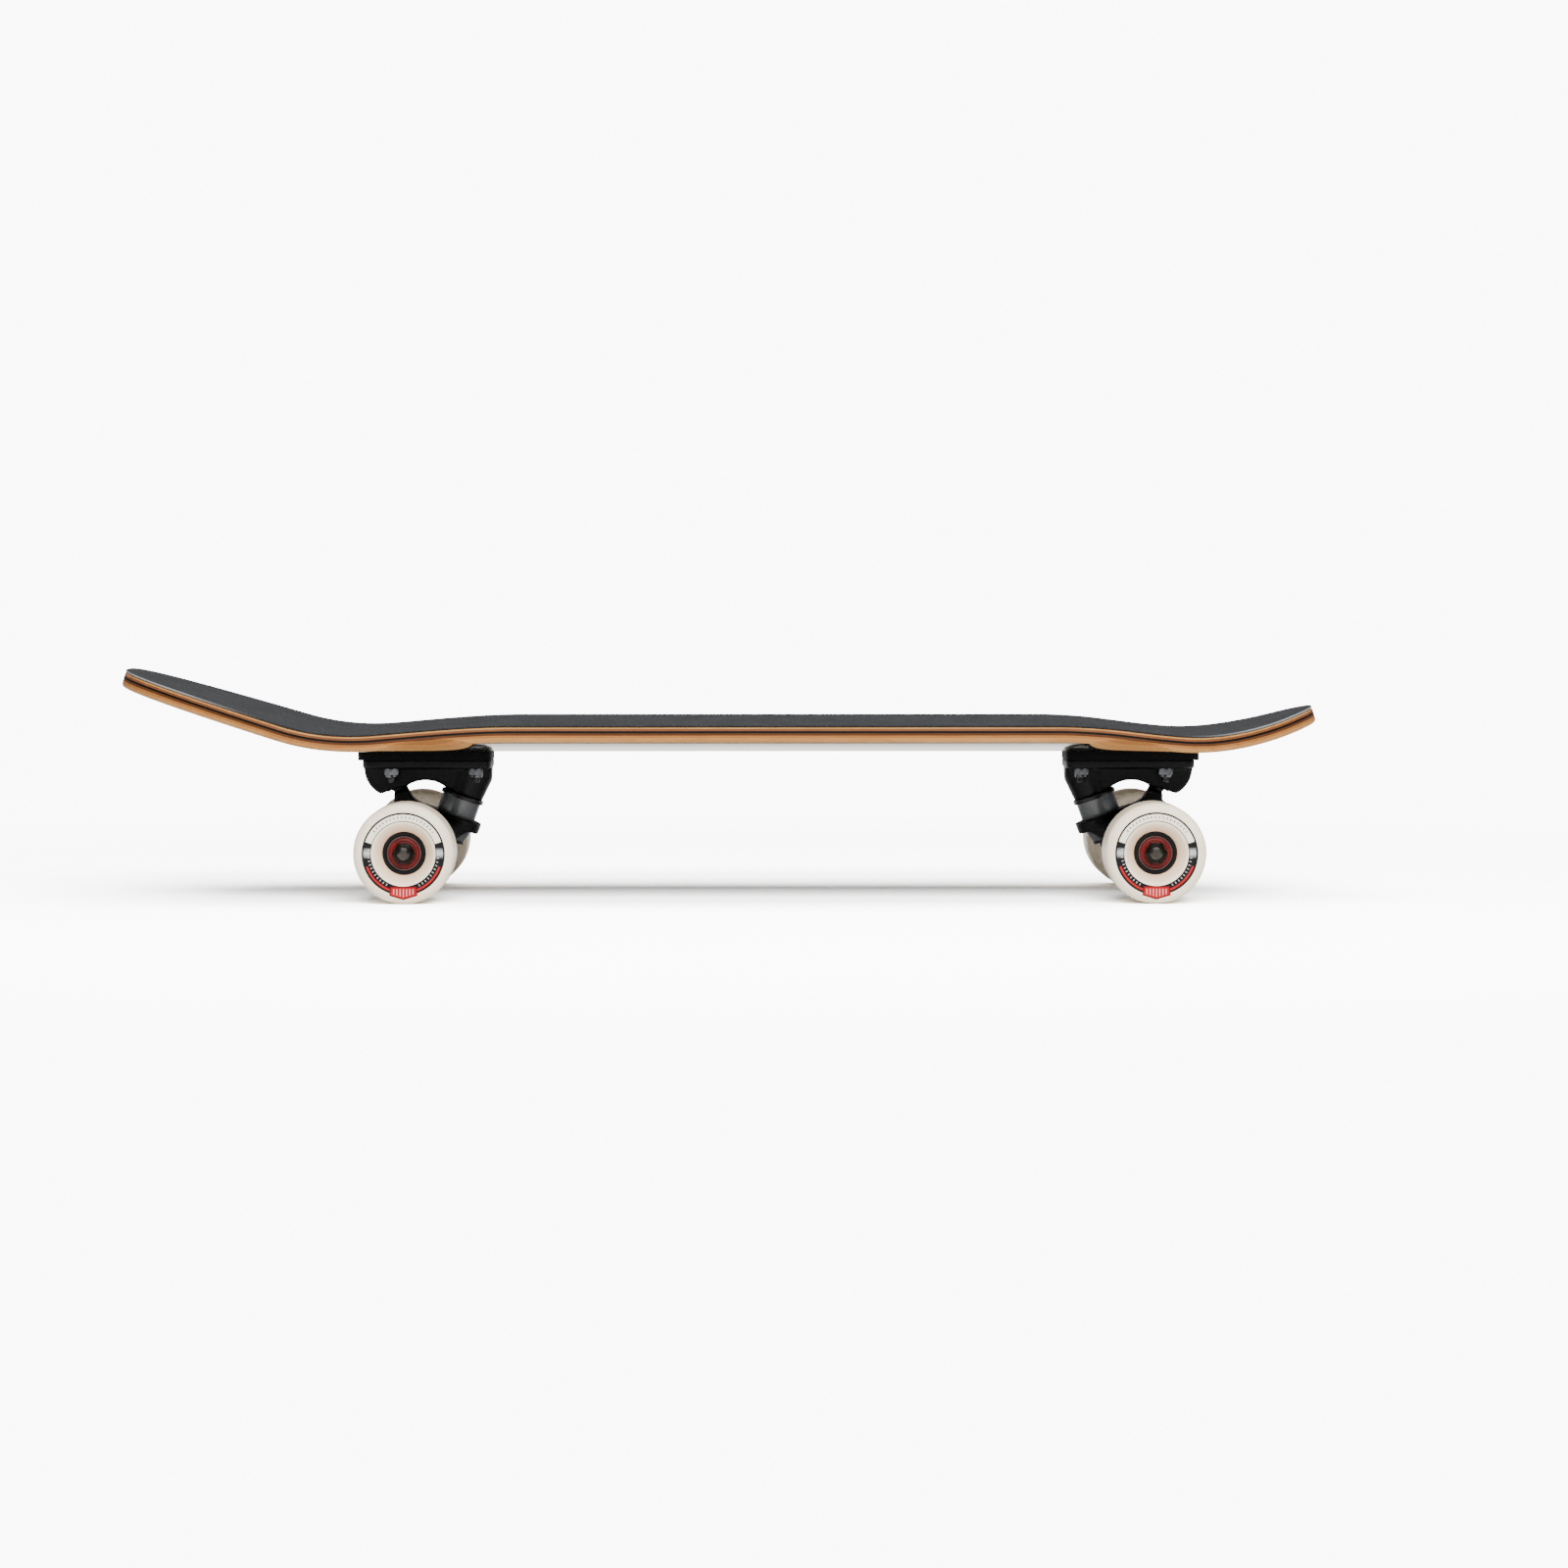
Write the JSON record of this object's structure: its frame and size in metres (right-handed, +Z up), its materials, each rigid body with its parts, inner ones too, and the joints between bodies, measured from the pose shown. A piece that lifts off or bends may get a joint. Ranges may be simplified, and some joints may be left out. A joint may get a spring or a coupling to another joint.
{
  "type": "skateboard",
  "caption": "Cruiser skateboard with a kicked tail, concave maple deck, grip tape, riser pads, steerable kingpin trucks and soft urethane wheels on ball bearings.",
  "frame": {"origin": "on the ground under the middle of the deck", "axes": "+X to the nose, +Y to the rider's left when facing the nose, +Z up"},
  "size_m": [0.7649, 0.229, 0.1448],
  "materials": {
    "maple_ply": "sanded and lacquered, black gloss underneath",
    "grip": "coarse grit",
    "riser_rubber": "matte",
    "cast_black": "satin black powder coat on a casting",
    "bolt_steel": "zinc plated",
    "nut_steel": "zinc plated",
    "kingpin_steel": "black oxide",
    "black_washer": "black oxide",
    "bushing_urethane": "cast urethane, semi-gloss",
    "bearing_steel": "polished",
    "wheel_urethane": "cast urethane, satin",
    "wheel_core": "moulded nylon",
    "red_seal": "moulded rubber seal"
  },
  "bodies": {
    "board": {"deck": "maple_ply", "grip_tape": "grip", "front_riser_pad": "riser_rubber", "front_baseplate": "cast_black", "front_truck_bolts": "bolt_steel", "front_truck_nuts": "nut_steel", "front_kingpin": "kingpin_steel", "front_kingpin_nut": "kingpin_steel", "front_pivot_cup": "bushing_urethane", "front_top_washer": "black_washer", "front_top_bushing": "bushing_urethane", "front_bottom_bushing": "bushing_urethane", "front_bottom_washer": "black_washer", "rear_riser_pad": "riser_rubber", "rear_baseplate": "cast_black", "rear_truck_bolts": "bolt_steel", "rear_truck_nuts": "nut_steel", "rear_kingpin": "kingpin_steel", "rear_kingpin_nut": "kingpin_steel", "rear_pivot_cup": "bushing_urethane", "rear_top_washer": "black_washer", "rear_top_bushing": "bushing_urethane", "rear_bottom_bushing": "bushing_urethane", "rear_bottom_washer": "black_washer"},
    "front_truck": {"front_hanger": "cast_black", "front_axle": "bolt_steel", "front_axle_nuts": "nut_steel", "front_speed_washers": "nut_steel", "front_bearing_spacers": "bearing_steel", "front_inner_races": "bearing_steel"},
    "rear_truck": {"rear_hanger": "cast_black", "rear_axle": "bolt_steel", "rear_axle_nuts": "nut_steel", "rear_speed_washers": "nut_steel", "rear_bearing_spacers": "bearing_steel", "rear_inner_races": "bearing_steel"},
    "front_left_wheel": {"front_left_tyre": "wheel_urethane", "front_left_core": "wheel_core", "front_left_outer_races": "bearing_steel", "front_left_shields": "red_seal"},
    "front_left_balls": {"front_left_ball_sets": "bearing_steel"},
    "front_right_wheel": {"front_right_tyre": "wheel_urethane", "front_right_core": "wheel_core", "front_right_outer_races": "bearing_steel", "front_right_shields": "red_seal"},
    "front_right_balls": {"front_right_ball_sets": "bearing_steel"},
    "rear_left_wheel": {"rear_left_tyre": "wheel_urethane", "rear_left_core": "wheel_core", "rear_left_outer_races": "bearing_steel", "rear_left_shields": "red_seal"},
    "rear_left_balls": {"rear_left_ball_sets": "bearing_steel"},
    "rear_right_wheel": {"rear_right_tyre": "wheel_urethane", "rear_right_core": "wheel_core", "rear_right_outer_races": "bearing_steel", "rear_right_shields": "red_seal"},
    "rear_right_balls": {"rear_right_ball_sets": "bearing_steel"}
  },
  "joints": [
    {"name": "front_steer", "type": "hinge", "parent": "board", "child": "front_truck", "pos_m": [0.28807, 0, 0.0732], "axis": [0.8541, 0, 0.5201], "range_deg": [-12, 12], "stiffness_Nm_per_rad": 40, "deforming": ["front_top_bushing", "front_bottom_bushing"]},
    {"name": "rear_steer", "type": "hinge", "parent": "board", "child": "rear_truck", "pos_m": [-0.21371, 0, 0.0732], "axis": [-0.8541, 0, 0.5201], "range_deg": [-12, 12], "stiffness_Nm_per_rad": 40, "deforming": ["rear_top_bushing", "rear_bottom_bushing"]},
    {"name": "front_left_spin", "type": "hinge", "parent": "front_truck", "child": "front_left_wheel", "pos_m": [0.27157, 0.08765, 0.0315], "axis": [0, 1, 0], "continuous": true},
    {"name": "front_left_cage", "type": "hinge", "parent": "front_truck", "child": "front_left_balls", "pos_m": [0.27157, 0.08765, 0.0315], "axis": [0, 1, 0], "continuous": true},
    {"name": "front_right_spin", "type": "hinge", "parent": "front_truck", "child": "front_right_wheel", "pos_m": [0.27157, -0.08765, 0.0315], "axis": [0, 1, 0], "continuous": true},
    {"name": "front_right_cage", "type": "hinge", "parent": "front_truck", "child": "front_right_balls", "pos_m": [0.27157, -0.08765, 0.0315], "axis": [0, 1, 0], "continuous": true},
    {"name": "rear_left_spin", "type": "hinge", "parent": "rear_truck", "child": "rear_left_wheel", "pos_m": [-0.19721, 0.08765, 0.0315], "axis": [0, 1, 0], "continuous": true},
    {"name": "rear_left_cage", "type": "hinge", "parent": "rear_truck", "child": "rear_left_balls", "pos_m": [-0.19721, 0.08765, 0.0315], "axis": [0, 1, 0], "continuous": true},
    {"name": "rear_right_spin", "type": "hinge", "parent": "rear_truck", "child": "rear_right_wheel", "pos_m": [-0.19721, -0.08765, 0.0315], "axis": [0, 1, 0], "continuous": true},
    {"name": "rear_right_cage", "type": "hinge", "parent": "rear_truck", "child": "rear_right_balls", "pos_m": [-0.19721, -0.08765, 0.0315], "axis": [0, 1, 0], "continuous": true}
  ],
  "couplings": [
    {"joint": "front_left_cage", "follows": "front_left_spin", "ratio": 0.63},
    {"joint": "front_right_cage", "follows": "front_right_spin", "ratio": 0.63},
    {"joint": "rear_left_cage", "follows": "rear_left_spin", "ratio": 0.63},
    {"joint": "rear_right_cage", "follows": "rear_right_spin", "ratio": 0.63}
  ]
}
